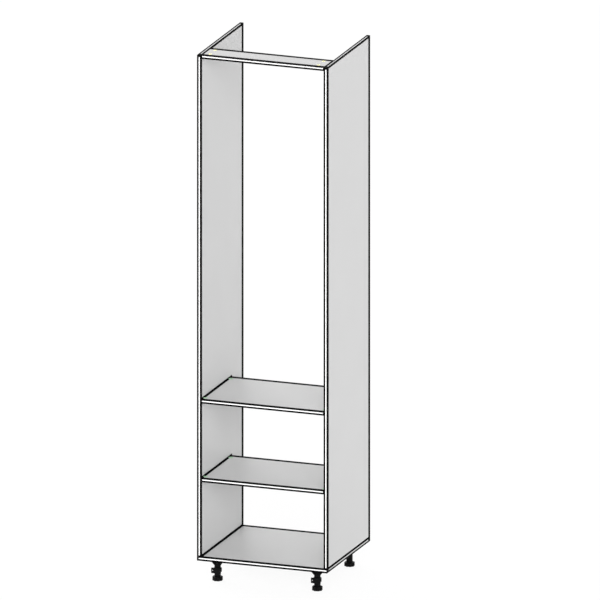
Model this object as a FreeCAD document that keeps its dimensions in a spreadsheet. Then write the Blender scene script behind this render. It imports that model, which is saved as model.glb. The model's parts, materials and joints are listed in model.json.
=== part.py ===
import FreeCAD, Part
import math
import os
from types import SimpleNamespace

import Sketcher

# A tall cabinet carcass on four adjustable legs, in millimetres.
# Origin: middle of the footprint on the floor. X to the right, Y to the back, Z up.

SIZES = {
    # Boards of the carcass
    "cabinet_width": 600,
    "cabinet_depth": 547,
    "carcass_height": 2280,
    "board_thickness": 16,
    "band_thickness": 1,
    "rail_depth": 125,
    "shelf_depth": 395,
    "niche_height": 339,
    # Clearances: round a fixed piece in its bore, past a bore's end, between sliding plastic
    "seat_clearance": 0.1,
    "bore_end_clearance": 0.3,
    "running_clearance": 0.3,
    "cut_overrun": 2,
    # One-piece joint screws, up through the bottom panel into the sides
    "joint_screw_inset": 50,
    "joint_screw_length": 50,
    "joint_screw_head_radius": 5,
    "joint_screw_head_height": 3,
    "joint_screw_shank_radius": 3.5,
    "joint_screw_shank_length": 10,
    "joint_screw_core_radius": 2.5,
    # Beech dowels
    "dowel_radius": 4,
    "dowel_length": 30,
    "dowel_depth_in_face": 11,
    # Cams and bolts that pull the rail against the sides
    "cam_radius": 7.5,
    "cam_height": 12,
    "cam_distance": 34,
    "cam_spacing": 64,
    "cam_hollow_radius": 5,
    "cam_slot_radius": 3.8,
    "cam_cross_span": 7,
    "cam_cross_width": 1.6,
    "cam_cross_depth": 2.5,
    "bolt_thread_radius": 2.5,
    "bolt_thread_depth": 11,
    "cam_bolt_radius": 3.5,
    "cam_bolt_bore_radius": 4,
    "cam_bolt_neck_radius": 2,
    "cam_bolt_head_length": 4,
    # Connectors of the fixed shelves
    "connector_radius": 10,
    "connector_height": 12.5,
    "connector_end_distance": 9.5,
    "connector_inset": 37,
    "connector_channel_radius": 3.8,
    "connector_cam_radius": 3.4,
    "shelf_bolt_radius": 3.4,
    "shelf_bolt_reach": 8.5,
    "shelf_bolt_neck_radius": 2.2,
    "shelf_bolt_neck_start": 3,
    "shelf_bolt_neck_length": 2.4,
    # Leg: height under the bottom panel, place, and how far the foot screws up and down
    "leg_height": 100,
    "leg_inset": 70,
    "foot_travel_up": 5,
    # Leg socket
    "socket_height": 30,
    "socket_plate_radius": 30,
    "socket_plate_thickness": 4,
    "socket_hub_radius": 16.5,
    "socket_bore_depth": 24,
    "socket_rib_count": 8,
    "socket_rib_thickness": 2.2,
    "socket_rib_reach": 28.5,
    "socket_rib_shoulder": 15,
    "socket_screw_circle_radius": 23,
    "socket_screw_radius": 1.9,
    "socket_screw_bite": 12,
    "socket_screw_head_radius": 3.8,
    "socket_screw_head_height": 2.6,
    # Leg tube
    "tube_radius": 14,
    "tube_thread_radius": 11,
    "tube_thread_length": 36,
    "tube_bore_radius": 12,
    # Foot and its spindle
    "foot_radius": 23,
    "foot_height": 18,
    "foot_core_radius": 19.5,
    "foot_lobe_radius": 8,
    "foot_lobe_count": 8,
    "foot_corner": 1.5,
    "foot_recess_radius": 15,
    "foot_recess_depth": 1,
    "foot_cup_clearance": 0.6,
    "foot_cup_floor": 8,
    "foot_neck_floor": 2.5,
    "spindle_neck_radius": 8,
    "spindle_length": 60,
    # Plinth clip, and how far it sits above the middle of the tube's free length
    "clip_rise": 3.5,
    "clip_plate_width": 45,
    "clip_plate_height": 25,
    "clip_plate_thickness": 3,
    "clip_plate_corner": 3,
    "clip_reach": 21,
    "clip_ring_wall": 4.2,
    "clip_ring_height": 16,
    "clip_ring_rise": 4.5,
    "clip_mouth_width": 21,
    "clip_lip_radius": 2.2,
    "clip_arm_spacing": 20,
    "clip_arm_thickness": 3,
    "clip_screw_spacing": 32,
    "clip_screw_bore_radius": 2.1,
}

FULL_TURN = 360
QUARTER_TURN = 90
# The first lobe of every foot stands this far round from the right, in degrees
FOOT_LOBE_ANGLE = 30
# The socket's screws lie on the diagonals, half way between two ribs
SOCKET_SCREW_COUNT = 4
SOCKET_SCREW_ANGLE = 45

X_AXIS = FreeCAD.Vector(1, 0, 0)
Y_AXIS = FreeCAD.Vector(0, 1, 0)
Z_AXIS = FreeCAD.Vector(0, 0, 1)

document = FreeCAD.newDocument("TallCabinetCarcass")
pieces = []


class Size:
    """A value together with the formula that ties it to the sheet."""

    def __init__(self, value, formula):
        self.value = value
        self.formula = formula

    def joined(self, other, sign, value):
        return Size(value, "(%s %s %s)" % (self.formula, sign, other.formula))

    def __add__(self, other):
        other = sized(other)
        return self.joined(other, "+", self.value + other.value)

    def __sub__(self, other):
        other = sized(other)
        return self.joined(other, "-", self.value - other.value)

    def __mul__(self, other):
        other = sized(other)
        return self.joined(other, "*", self.value * other.value)

    def __truediv__(self, other):
        other = sized(other)
        return self.joined(other, "/", self.value / other.value)

    def __neg__(self):
        return self * -1

    __radd__ = __add__
    __rmul__ = __mul__


def sized(number):
    """A plain factor, or zero, as a Size."""
    if isinstance(number, Size):
        return number
    return Size(number, "(%s)" % number)


def make_sheet():
    """The sheet of driving sizes, and each size by its name."""
    sheet = document.addObject("Spreadsheet::Sheet", "Sizes")
    for row, (name, value) in enumerate(SIZES.items(), start=1):
        sheet.set("A%d" % row, name)
        sheet.set("B%d" % row, str(value))
        sheet.setAlias("B%d" % row, name)
    document.recompute()
    return SimpleNamespace(**{name: Size(value, "Sizes." + name) for name, value in SIZES.items()})


size = make_sheet()
ZERO = sized(0)

# Places that several pieces share
half_width = size.cabinet_width / 2
half_depth = size.cabinet_depth / 2
front = -half_depth
top = size.leg_height + size.carcass_height
floor_top = size.leg_height + size.board_thickness
inner_width = size.cabinet_width - size.board_thickness * 2
inner_left = size.board_thickness - half_width
lower_shelf_base = floor_top + size.niche_height
upper_shelf_base = lower_shelf_base + size.board_thickness + size.niche_height
half_board = size.board_thickness / 2
rail_cam_places = [
    (size.rail_depth - size.cam_spacing) / 2,
    (size.rail_depth + size.cam_spacing) / 2,
]
rail_dowel_place = size.rail_depth / 2
connector_places = [size.connector_inset, size.shelf_depth - size.connector_inset]
joint_screw_places = [
    size.joint_screw_inset,
    half_depth,
    size.cabinet_depth - size.joint_screw_inset,
]
floor_dowel_places = [
    (size.joint_screw_inset + half_depth) / 2,
    size.cabinet_depth - (size.joint_screw_inset + half_depth) / 2,
]
leg_places = {
    "front_left": (size.leg_inset - half_width, size.leg_inset - half_depth),
    "front_right": (half_width - size.leg_inset, size.leg_inset - half_depth),
    "back_left": (size.leg_inset - half_width, half_depth - size.leg_inset),
    "back_right": (half_width - size.leg_inset, half_depth - size.leg_inset),
}


def bind(thing, prop, length):
    """Ties a property to the sheet."""
    thing.setExpression(prop, length.formula)


def put(thing, x, y, z, turn=0, axis=Z_AXIS):
    """Places a body or a copy, turned by so many degrees about its own origin."""
    thing.Placement = FreeCAD.Placement(FreeCAD.Vector(), FreeCAD.Rotation(axis, turn))
    for letter, length in zip("xyz", (x, y, z)):
        bind(thing, "Placement.Base." + letter, sized(length))


def new_body(name):
    body = document.addObject("PartDesign::Body", name)
    body.Label = name
    return body


def keep(piece):
    """Adds a finished sub-part to those that are written."""
    pieces.append(piece)
    return piece


def plane_of(body, role):
    return next(item for item in body.Origin.OriginFeatures if item.Role == role)


def sketch_on(body, role, name, height=ZERO, turn=0, turn_axis=Z_AXIS):
    """A sketch on one of the body's origin planes, moved along its normal and turned."""
    sketch = body.newObject("Sketcher::SketchObject", name)
    sketch.AttachmentSupport = [(plane_of(body, role), "")]
    sketch.MapMode = "FlatFace"
    turned = FreeCAD.Rotation(turn_axis, turn)
    sketch.AttachmentOffset = FreeCAD.Placement(FreeCAD.Vector(), turned)
    bind(sketch, "AttachmentOffset.Base.z", height)
    return sketch


def pin(sketch, kind, refs, length):
    """A constraint whose value comes from the sheet."""
    index = sketch.addConstraint(Sketcher.Constraint(kind, *refs, length.value))
    name = "size_%d" % index
    sketch.renameConstraint(index, name)
    bind(sketch, "Constraints." + name, length)


def pin_point(sketch, geometry, position, x, y):
    pin(sketch, "DistanceX", (-1, 1, geometry, position), sized(x))
    pin(sketch, "DistanceY", (-1, 1, geometry, position), sized(y))


def circle(sketch, x, y, radius):
    x, y = sized(x), sized(y)
    centre = FreeCAD.Vector(x.value, y.value, 0)
    index = sketch.addGeometry(Part.Circle(centre, Z_AXIS, radius.value), False)
    pin_point(sketch, index, 3, x, y)
    pin(sketch, "Radius", (index,), radius)


def arc_between(start, end, radius):
    """The short arc from start to end that bows to the right of the way from one to the other."""
    chord = end - start
    rise = math.sqrt(radius**2 - (chord.Length / 2) ** 2)
    left = FreeCAD.Vector(-chord.y, chord.x, 0).normalize()
    centre = (start + end) * 0.5 + left * rise
    first = math.atan2(start.y - centre.y, start.x - centre.x)
    last = math.atan2(end.y - centre.y, end.x - centre.x)
    return Part.ArcOfCircle(Part.Circle(centre, Z_AXIS, radius), first, last)


def outline(sketch, corners, arcs=None):
    """A closed outline, anticlockwise. arcs gives the radius of each side that bows outwards."""
    arcs = arcs or {}
    corners = [(sized(x), sized(y)) for x, y in corners]
    points = [FreeCAD.Vector(x.value, y.value, 0) for x, y in corners]
    sides = []
    for number, start in enumerate(points):
        end = points[(number + 1) % len(points)]
        if number in arcs:
            side = arc_between(start, end, arcs[number].value)
        else:
            side = Part.LineSegment(start, end)
        sides.append(sketch.addGeometry(side, False))
    for number, side in enumerate(sides):
        following = sides[(number + 1) % len(sides)]
        sketch.addConstraint(Sketcher.Constraint("Coincident", side, 2, following, 1))
        pin_point(sketch, side, 1, *corners[number])
        if number in arcs:
            pin(sketch, "Radius", (side,), arcs[number])


def rectangle(sketch, x0, y0, x1, y1):
    outline(sketch, [(x0, y0), (x1, y0), (x1, y1), (x0, y1)])


def cross(sketch, span, width):
    """The outline of a cross-shaped driver recess round the origin."""
    s, w = span / 2, width / 2
    outline(
        sketch,
        [
            (s, -w), (s, w), (w, w), (w, s), (-w, s), (-w, w),
            (-s, w), (-s, -w), (-w, -w), (-w, -s), (w, -s), (w, -w),
        ],
    )


def pad(body, sketch, name, length, both_ways=False):
    feature = body.newObject("PartDesign::Pad", name)
    feature.Profile = sketch
    bind(feature, "Length", length)
    if both_ways:
        feature.Midplane = True
    body.Tip = feature
    return feature


def pocket(body, sketch, name, depth, along_normal=False, both_ways=False):
    """Cuts against the sketch's normal, or along it."""
    document.recompute()
    feature = body.newObject("PartDesign::Pocket", name)
    feature.Profile = sketch
    feature.Reversed = along_normal
    feature.Midplane = both_ways
    bind(feature, "Length", depth)
    body.Tip = feature
    return feature


def revolve(body, name, corners):
    """Turns an outline in the XZ plane once round the body's upright axis."""
    sketch = sketch_on(body, "XZ_Plane", name + "_profile")
    outline(sketch, corners)
    feature = body.newObject("PartDesign::Revolution", name)
    feature.Profile = sketch
    feature.ReferenceAxis = (sketch, ["V_Axis"])
    feature.Angle = FULL_TURN
    body.Tip = feature
    return feature


def round_pattern(body, feature, name, count):
    """Copies a feature so many times round the body's upright axis."""
    document.recompute()
    pattern = body.newObject("PartDesign::PolarPattern", name)
    pattern.Originals = [feature]
    pattern.Axis = (plane_of(body, "Z_Axis"), [""])
    pattern.Angle = FULL_TURN
    bind(pattern, "Occurrences", count)
    body.Tip = pattern
    return pattern


def bores(body, name, role, height, places, radius, depth, along_normal=False):
    """Round bores of one size, sunk from one plane."""
    sketch = sketch_on(body, role, name + "_places", height)
    for x, y in places:
        circle(sketch, x, y, radius)
    return pocket(body, sketch, name, depth, along_normal)


def group_of(name, master, places):
    """One node of like pieces. Each place is x, y, z, a turn in degrees and its axis."""
    copies = []
    for number, (x, y, z, turn, axis) in enumerate(places, start=1):
        copy = document.addObject("App::Link", "%s_%d" % (name, number))
        copy.LinkedObject = master
        put(copy, x, y, z, turn, axis)
        copies.append(copy)
    group = document.addObject("Part::Compound", name)
    group.Label = name
    group.Links = copies
    return keep(group)


def board(name, corner, extent):
    """A board or band from its lowest corner, with its own origin there."""
    body = new_body(name)
    width, depth, height = extent
    sketch = sketch_on(body, "XY_Plane", name + "_outline")
    rectangle(sketch, ZERO, ZERO, width, depth)
    pad(body, sketch, name + "_blank", height)
    put(body, *corner)
    return keep(body)


def side_panel(name, hand):
    """A side panel, hand -1 at the left and 1 at the right, bored on its inner face and lower end."""
    left = -half_width
    if hand > 0:
        left = half_width - size.board_thickness
    corner = (left, front + size.band_thickness, floor_top)
    height = size.carcass_height - size.board_thickness - size.band_thickness
    depth = size.cabinet_depth - size.band_thickness
    body = board(name, corner, (size.board_thickness, depth, height))
    inner_face = ZERO
    if hand < 0:
        inner_face = size.board_thickness
    rail_height = top - half_board - floor_top
    bolt_places = [(y - size.band_thickness, rail_height) for y in rail_cam_places]
    for base in (lower_shelf_base, upper_shelf_base):
        bolt_height = base + half_board - floor_top
        bolt_places += [(y - size.band_thickness, bolt_height) for y in connector_places]
    bores(
        body, name + "_bolt_bores", "YZ_Plane", inner_face, bolt_places,
        size.bolt_thread_radius + size.seat_clearance,
        size.bolt_thread_depth + size.bore_end_clearance, hand > 0,
    )
    bores(
        body, name + "_rail_dowel_bore", "YZ_Plane", inner_face,
        [(rail_dowel_place - size.band_thickness, rail_height)],
        size.dowel_radius + size.seat_clearance,
        size.dowel_depth_in_face + size.bore_end_clearance, hand > 0,
    )
    bores(
        body, name + "_screw_bores", "XY_Plane", ZERO,
        [(half_board, y - size.band_thickness) for y in joint_screw_places],
        size.joint_screw_core_radius + size.seat_clearance,
        size.joint_screw_length - size.board_thickness + size.bore_end_clearance, True,
    )
    bores(
        body, name + "_dowel_bores", "XY_Plane", ZERO,
        [(half_board, y - size.band_thickness) for y in floor_dowel_places],
        size.dowel_radius + size.seat_clearance,
        size.dowel_length - size.dowel_depth_in_face + size.bore_end_clearance, True,
    )
    return body


def socket_screw_offsets():
    """Where the screws of one leg socket lie round its axis."""
    offsets = []
    for number in range(SOCKET_SCREW_COUNT):
        angle = SOCKET_SCREW_ANGLE + number * FULL_TURN / SOCKET_SCREW_COUNT
        x_share = math.cos(math.radians(angle))
        y_share = math.sin(math.radians(angle))
        offsets.append(
            (size.socket_screw_circle_radius * x_share, size.socket_screw_circle_radius * y_share)
        )
    return offsets


def bottom_panel():
    """The bottom panel, bored for the joint screws and dowels of the sides and for the legs."""
    corner = (size.band_thickness - half_width, front + size.band_thickness, size.leg_height)
    extent = (
        size.cabinet_width - size.band_thickness * 2,
        size.cabinet_depth - size.band_thickness,
        size.board_thickness,
    )
    body = board("bottom_panel", corner, extent)
    rows = (half_board - size.band_thickness, extent[0] - half_board + size.band_thickness)
    screw_places = [(x, y - size.band_thickness) for x in rows for y in joint_screw_places]
    dowel_places = [(x, y - size.band_thickness) for x in rows for y in floor_dowel_places]
    clear_radius = size.joint_screw_shank_radius + size.seat_clearance
    bores(
        body, "bottom_screw_bores", "XY_Plane", ZERO, screw_places,
        clear_radius, size.board_thickness + size.cut_overrun, True,
    )
    bores(
        body, "bottom_screw_seats", "XY_Plane", ZERO, screw_places,
        size.joint_screw_head_radius + size.seat_clearance,
        size.joint_screw_head_height + size.seat_clearance, True,
    )
    bores(
        body, "bottom_dowel_bores", "XY_Plane", size.board_thickness, dowel_places,
        size.dowel_radius + size.seat_clearance,
        size.dowel_depth_in_face + size.bore_end_clearance,
    )
    leg_screw_places = []
    for leg_x, leg_y in leg_places.values():
        for x, y in socket_screw_offsets():
            leg_screw_places.append((leg_x + x - corner[0], leg_y + y - corner[1]))
    bores(
        body, "bottom_leg_screw_bores", "XY_Plane", ZERO, leg_screw_places,
        size.socket_screw_radius + size.seat_clearance,
        size.socket_screw_bite + size.bore_end_clearance, True,
    )
    return body


def top_rail():
    """The rail between the tops of the sides, bored for cams, their bolts and a dowel each end."""
    corner = (inner_left, front + size.band_thickness, top - size.board_thickness)
    extent = (inner_width, size.rail_depth - size.band_thickness, size.board_thickness)
    body = board("top_rail", corner, extent)
    places = []
    for y in rail_cam_places:
        for x in (size.cam_distance, inner_width - size.cam_distance):
            places.append((x, y - size.band_thickness))
    bores(
        body, "rail_cam_bores", "XY_Plane", size.board_thickness, places,
        size.cam_radius + size.seat_clearance, size.cam_height + size.seat_clearance,
    )
    bolt_places = [(y - size.band_thickness, half_board) for y in rail_cam_places]
    dowel_places = [(rail_dowel_place - size.band_thickness, half_board)]
    dowel_depth = size.dowel_length - size.dowel_depth_in_face + size.bore_end_clearance
    for end, x, along_normal in (("left", ZERO, True), ("right", inner_width, False)):
        bores(
            body, "rail_%s_bolt_bores" % end, "YZ_Plane", x, bolt_places,
            size.cam_bolt_bore_radius, size.cam_distance, along_normal,
        )
        bores(
            body, "rail_%s_dowel_bore" % end, "YZ_Plane", x, dowel_places,
            size.dowel_radius + size.seat_clearance, dowel_depth, along_normal,
        )
    return body


def shelf(name, base):
    """A fixed shelf, bored at its four corners for the connectors."""
    corner = (inner_left, front + size.band_thickness, base)
    extent = (inner_width, size.shelf_depth - size.band_thickness, size.board_thickness)
    body = board(name, corner, extent)
    places = []
    for y in connector_places:
        for x in (size.connector_end_distance, inner_width - size.connector_end_distance):
            places.append((x, y - size.band_thickness))
    bores(
        body, name + "_connector_bores", "XY_Plane", size.board_thickness, places,
        size.connector_radius + size.seat_clearance, size.connector_height + size.seat_clearance,
    )
    return body


def bands():
    """Edge bands: one on every front edge, on the tops of the sides and on the bottom's ends."""
    band = size.band_thickness
    side_height = size.carcass_height - size.board_thickness
    right = half_width - size.board_thickness
    for name, x in (("left", -half_width), ("right", right)):
        board(
            "side_front_band_" + name, (x, front, floor_top),
            (size.board_thickness, band, side_height),
        )
        board(
            "side_top_band_" + name, (x, front + band, top - band),
            (size.board_thickness, size.cabinet_depth - band, band),
        )
    for name, x in (("left", -half_width), ("right", half_width - band)):
        board(
            "bottom_end_band_" + name, (x, front + band, size.leg_height),
            (band, size.cabinet_depth - band, size.board_thickness),
        )
    board(
        "bottom_front_band", (-half_width, front, size.leg_height),
        (size.cabinet_width, band, size.board_thickness),
    )
    for name, base in (
        ("top_rail_front_band", top - size.board_thickness),
        ("lower_shelf_front_band", lower_shelf_base),
        ("upper_shelf_front_band", upper_shelf_base),
    ):
        board(name, (inner_left, front, base), (inner_width, band, size.board_thickness))


def dowel_master():
    body = new_body("dowel_master")
    sketch = sketch_on(body, "XY_Plane", "dowel_outline")
    circle(sketch, 0, 0, size.dowel_radius)
    pad(body, sketch, "dowel", size.dowel_length)
    return body


def joint_screw_master():
    """A one-piece joint screw, head down, with a shank for the panel and a core for the side."""
    body = new_body("joint_screw_master")
    head_top = size.joint_screw_head_height
    shank_top = head_top + size.joint_screw_shank_length
    revolve(
        body, "joint_screw",
        [
            (0, 0), (size.joint_screw_head_radius, 0), (size.joint_screw_head_radius, head_top),
            (size.joint_screw_shank_radius, head_top), (size.joint_screw_shank_radius, shank_top),
            (size.joint_screw_core_radius, shank_top),
            (size.joint_screw_core_radius, size.joint_screw_length),
            (0, size.joint_screw_length),
        ],
    )
    return body


def cam_master():
    """A rail cam, mouth towards -X, hollow below for the bolt's head, with a driver cross on top."""
    body = new_body("cam_master")
    sketch = sketch_on(body, "XY_Plane", "cam_outline")
    circle(sketch, 0, 0, size.cam_radius)
    pad(body, sketch, "cam_blank", size.cam_height)
    bolt_height = size.cam_height - half_board
    hollow_depth = bolt_height + size.cam_slot_radius
    bores(
        body, "cam_hollow", "XY_Plane", ZERO, [(0, 0)],
        size.cam_hollow_radius, hollow_depth, True,
    )
    slot = sketch_on(body, "XY_Plane", "cam_slot_outline")
    rectangle(
        slot, -(size.cam_radius + size.cut_overrun), -size.cam_slot_radius,
        0, size.cam_slot_radius,
    )
    pocket(body, slot, "cam_slot", hollow_depth, True)
    recess = sketch_on(body, "XY_Plane", "cam_cross_outline", size.cam_height)
    cross(recess, size.cam_cross_span, size.cam_cross_width)
    pocket(body, recess, "cam_cross", size.cam_cross_depth)
    return body


def cam_bolt_master():
    """A bolt along +Z: thread below zero in the side panel, neck and head in the cam."""
    body = new_body("cam_bolt_master")
    shoulder = size.cam_distance - size.cam_radius
    head_start = size.cam_distance - size.cam_bolt_head_length / 2
    head_end = size.cam_distance + size.cam_bolt_head_length / 2
    revolve(
        body, "cam_bolt",
        [
            (0, -size.bolt_thread_depth), (size.bolt_thread_radius, -size.bolt_thread_depth),
            (size.bolt_thread_radius, 0), (size.cam_bolt_radius, 0),
            (size.cam_bolt_radius, shoulder), (size.cam_bolt_neck_radius, shoulder),
            (size.cam_bolt_neck_radius, head_start), (size.cam_bolt_radius, head_start),
            (size.cam_bolt_radius, head_end), (0, head_end),
        ],
    )
    return body


def connector_master():
    """A shelf connector's housing, flat side and bolt channel towards -X, lying top up."""
    body = new_body("connector_master")
    sketch = sketch_on(body, "XY_Plane", "connector_outline")
    circle(sketch, 0, 0, size.connector_radius)
    pad(body, sketch, "connector_blank", size.connector_height)
    far = size.connector_radius + size.cut_overrun
    flat = sketch_on(body, "XY_Plane", "connector_flat_outline")
    rectangle(flat, -far, -far, -size.connector_end_distance, far)
    pocket(body, flat, "connector_flat", size.connector_height, True)
    channel_roof = size.connector_height - half_board + size.connector_channel_radius
    channel = sketch_on(body, "XY_Plane", "connector_channel_outline")
    rectangle(
        channel, -far, -size.connector_channel_radius,
        size.connector_cam_radius, size.connector_channel_radius,
    )
    pocket(body, channel, "connector_channel", channel_roof, True)
    bores(
        body, "connector_cam_bore", "XY_Plane", size.connector_height, [(0, 0)],
        size.connector_cam_radius + size.seat_clearance,
        size.connector_height - channel_roof + size.cut_overrun,
    )
    return body


def connector_cam_master():
    """The small clamping cam that turns in a connector's housing."""
    body = new_body("connector_cam_master")
    height = half_board - size.connector_channel_radius
    sketch = sketch_on(body, "XY_Plane", "connector_cam_outline")
    circle(sketch, 0, 0, size.connector_cam_radius)
    pad(body, sketch, "connector_cam_blank", height)
    return body


def shelf_bolt_master():
    """A short bolt along +Z: thread below zero in the side panel, waisted head in a connector."""
    body = new_body("shelf_bolt_master")
    neck_end = size.shelf_bolt_neck_start + size.shelf_bolt_neck_length
    revolve(
        body, "shelf_bolt",
        [
            (0, -size.bolt_thread_depth), (size.bolt_thread_radius, -size.bolt_thread_depth),
            (size.bolt_thread_radius, 0), (size.shelf_bolt_radius, 0),
            (size.shelf_bolt_radius, size.shelf_bolt_neck_start),
            (size.shelf_bolt_neck_radius, size.shelf_bolt_neck_start),
            (size.shelf_bolt_neck_radius, neck_end), (size.shelf_bolt_radius, neck_end),
            (size.shelf_bolt_radius, size.shelf_bolt_reach), (0, size.shelf_bolt_reach),
        ],
    )
    return body


def carcass_fittings():
    """Every hidden or half hidden fitting of the carcass, each kind in one node."""
    right_face = half_width - size.board_thickness
    dowel = dowel_master()
    screw_rows = (half_board - half_width, half_width - half_board)
    group_of(
        "joint_screws", joint_screw_master(),
        [(x, front + y, size.leg_height, 0, Z_AXIS) for x in screw_rows for y in joint_screw_places],
    )
    dowel_base = floor_top - size.dowel_depth_in_face
    group_of(
        "bottom_dowels", dowel,
        [(x, front + y, dowel_base, 0, Z_AXIS) for x in screw_rows for y in floor_dowel_places],
    )
    rail_axis = top - half_board
    dowel_y = front + rail_dowel_place
    group_of(
        "rail_dowels", dowel,
        [
            (inner_left - size.dowel_depth_in_face, dowel_y, rail_axis, QUARTER_TURN, Y_AXIS),
            (right_face + size.dowel_depth_in_face, dowel_y, rail_axis, -QUARTER_TURN, Y_AXIS),
        ],
    )
    cam_places = []
    bolt_places = []
    for y in rail_cam_places:
        cam_base = top - size.cam_height
        cam_left = inner_left + size.cam_distance
        cam_places.append((cam_left, front + y, cam_base, 0, Z_AXIS))
        cam_places.append((-cam_left, front + y, cam_base, FULL_TURN / 2, Z_AXIS))
        bolt_places.append((inner_left, front + y, rail_axis, QUARTER_TURN, Y_AXIS))
        bolt_places.append((right_face, front + y, rail_axis, -QUARTER_TURN, Y_AXIS))
    group_of("rail_cams", cam_master(), cam_places)
    group_of("rail_cam_bolts", cam_bolt_master(), bolt_places)
    housing = connector_master()
    clamping_cam = connector_cam_master()
    bolt = shelf_bolt_master()
    for name, base in (("lower_shelf", lower_shelf_base), ("upper_shelf", upper_shelf_base)):
        shelf_top = base + size.board_thickness
        clamp_base = base + half_board + size.connector_channel_radius
        housing_x = inner_left + size.connector_end_distance
        housings, cams, bolts = [], [], []
        for y in connector_places:
            for x, turn in ((housing_x, 0), (-housing_x, FULL_TURN / 2)):
                housings.append((x, front + y, shelf_top - size.connector_height, turn, Z_AXIS))
                cams.append((x, front + y, clamp_base, turn, Z_AXIS))
            for x, turn in ((inner_left, QUARTER_TURN), (right_face, -QUARTER_TURN)):
                bolts.append((x, front + y, base + half_board, turn, Y_AXIS))
        group_of(name + "_connectors", housing, housings)
        group_of(name + "_connector_cams", clamping_cam, cams)
        group_of(name + "_bolts", bolt, bolts)


def leg_socket(name, x, y):
    """A ribbed socket under the bottom panel: plate above, hub with a blind bore for the tube."""
    body = new_body(name)
    bore = size.tube_radius + size.seat_clearance
    plate_base = size.socket_height - size.socket_plate_thickness
    revolve(
        body, "socket_hub",
        [
            (bore, 0), (size.socket_hub_radius, 0), (size.socket_hub_radius, plate_base),
            (size.socket_plate_radius, plate_base), (size.socket_plate_radius, size.socket_height),
            (0, size.socket_height), (0, size.socket_bore_depth), (bore, size.socket_bore_depth),
        ],
    )
    root = (bore + size.socket_hub_radius) / 2
    rib_top = size.socket_height - size.socket_plate_thickness / 2
    rib_corner = size.socket_height - size.socket_rib_shoulder
    half_step = FULL_TURN / 2 / size.socket_rib_count.value
    sketch = sketch_on(body, "XZ_Plane", "socket_rib_outline", ZERO, half_step, Y_AXIS)
    outline(
        sketch,
        [
            (root, 0), (size.socket_hub_radius, 0), (size.socket_rib_reach, rib_corner),
            (size.socket_rib_reach, rib_top), (root, rib_top),
        ],
    )
    rib = pad(body, sketch, "socket_rib", size.socket_rib_thickness, both_ways=True)
    round_pattern(body, rib, "socket_ribs", size.socket_rib_count)
    bores(
        body, "socket_screw_bores", "XY_Plane", size.socket_height, socket_screw_offsets(),
        size.socket_screw_radius + size.seat_clearance,
        size.socket_plate_thickness + size.cut_overrun,
    )
    put(body, x, y, size.leg_height - size.socket_height)
    return keep(body)


def socket_screw_master():
    """A flat-head screw, head down, whose origin is where the head meets the socket's plate."""
    body = new_body("socket_screw_master")
    length = size.socket_plate_thickness + size.socket_screw_bite
    revolve(
        body, "socket_screw",
        [
            (0, -size.socket_screw_head_height),
            (size.socket_screw_head_radius, -size.socket_screw_head_height),
            (size.socket_screw_head_radius, 0), (size.socket_screw_radius, 0),
            (size.socket_screw_radius, length), (0, length),
        ],
    )
    return body


def leg_tube(name, x, y):
    """The tube of a leg: threaded below, where it dips into the foot, and wider bored above."""
    body = new_body(name)
    base = size.foot_cup_floor + size.foot_travel_up + size.running_clearance
    length = size.leg_height - size.socket_height + size.socket_bore_depth - base
    revolve(
        body, "tube",
        [
            (size.tube_thread_radius, 0), (size.tube_radius, 0), (size.tube_radius, length),
            (size.tube_bore_radius, length), (size.tube_bore_radius, size.tube_thread_length),
            (size.tube_thread_radius, size.tube_thread_length),
        ],
    )
    put(body, x, y, base)
    return keep(body)


def leg_spindle(name, x, y):
    """The spindle that screws in the tube, with a neck that sits in the foot."""
    body = new_body(name)
    radius = size.tube_thread_radius - size.running_clearance
    neck_base = size.foot_neck_floor + size.running_clearance
    neck = size.foot_cup_floor - size.foot_neck_floor
    revolve(
        body, "spindle",
        [
            (0, 0), (size.spindle_neck_radius, 0), (size.spindle_neck_radius, neck),
            (radius, neck), (radius, size.spindle_length), (0, size.spindle_length),
        ],
    )
    put(body, x, y, neck_base)
    return keep(body)


def leg_foot(name, x, y):
    """A foot turned by hand: bevelled lobes round a core, a cup for the tube, a bored neck seat."""
    body = new_body(name)
    core = sketch_on(body, "XY_Plane", "foot_core_outline")
    circle(core, 0, 0, size.foot_core_radius)
    pad(body, core, "foot_core", size.foot_height)
    lobe_sketch = sketch_on(body, "XY_Plane", "foot_lobe_outline", ZERO, FOOT_LOBE_ANGLE)
    circle(lobe_sketch, size.foot_radius - size.foot_lobe_radius, 0, size.foot_lobe_radius)
    lobe = pad(body, lobe_sketch, "foot_lobe", size.foot_height)
    round_pattern(body, lobe, "foot_lobes", size.foot_lobe_count)
    trim_foot_corners(body)
    bores(
        body, "foot_cup", "XY_Plane", size.foot_height, [(0, 0)],
        size.tube_radius + size.foot_cup_clearance, size.foot_height - size.foot_cup_floor,
    )
    bores(
        body, "foot_neck_seat", "XY_Plane", size.foot_cup_floor, [(0, 0)],
        size.spindle_neck_radius + size.seat_clearance,
        size.foot_cup_floor - size.foot_neck_floor,
    )
    bores(
        body, "foot_recess", "XY_Plane", ZERO, [(0, 0)],
        size.foot_recess_radius, size.foot_recess_depth, True,
    )
    put(body, x, y, ZERO)
    return keep(body)


def trim_foot_corners(body):
    """Bevels the lobes above and below with one turned cut."""
    edge, corner, tall = size.foot_radius, size.foot_corner, size.foot_height
    out = size.cut_overrun
    sketch = sketch_on(body, "XZ_Plane", "foot_corner_profile")
    outline(
        sketch,
        [
            (edge - corner, 0), (edge - corner, -out), (edge + out, -out),
            (edge + out, corner), (edge, corner),
        ],
    )
    outline(
        sketch,
        [
            (edge, tall - corner), (edge + out, tall - corner), (edge + out, tall + out),
            (edge - corner, tall + out), (edge - corner, tall),
        ],
    )
    document.recompute()
    groove = body.newObject("PartDesign::Groove", "foot_corners")
    groove.Profile = sketch
    groove.ReferenceAxis = (sketch, ["V_Axis"])
    groove.Angle = FULL_TURN
    body.Tip = groove


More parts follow.
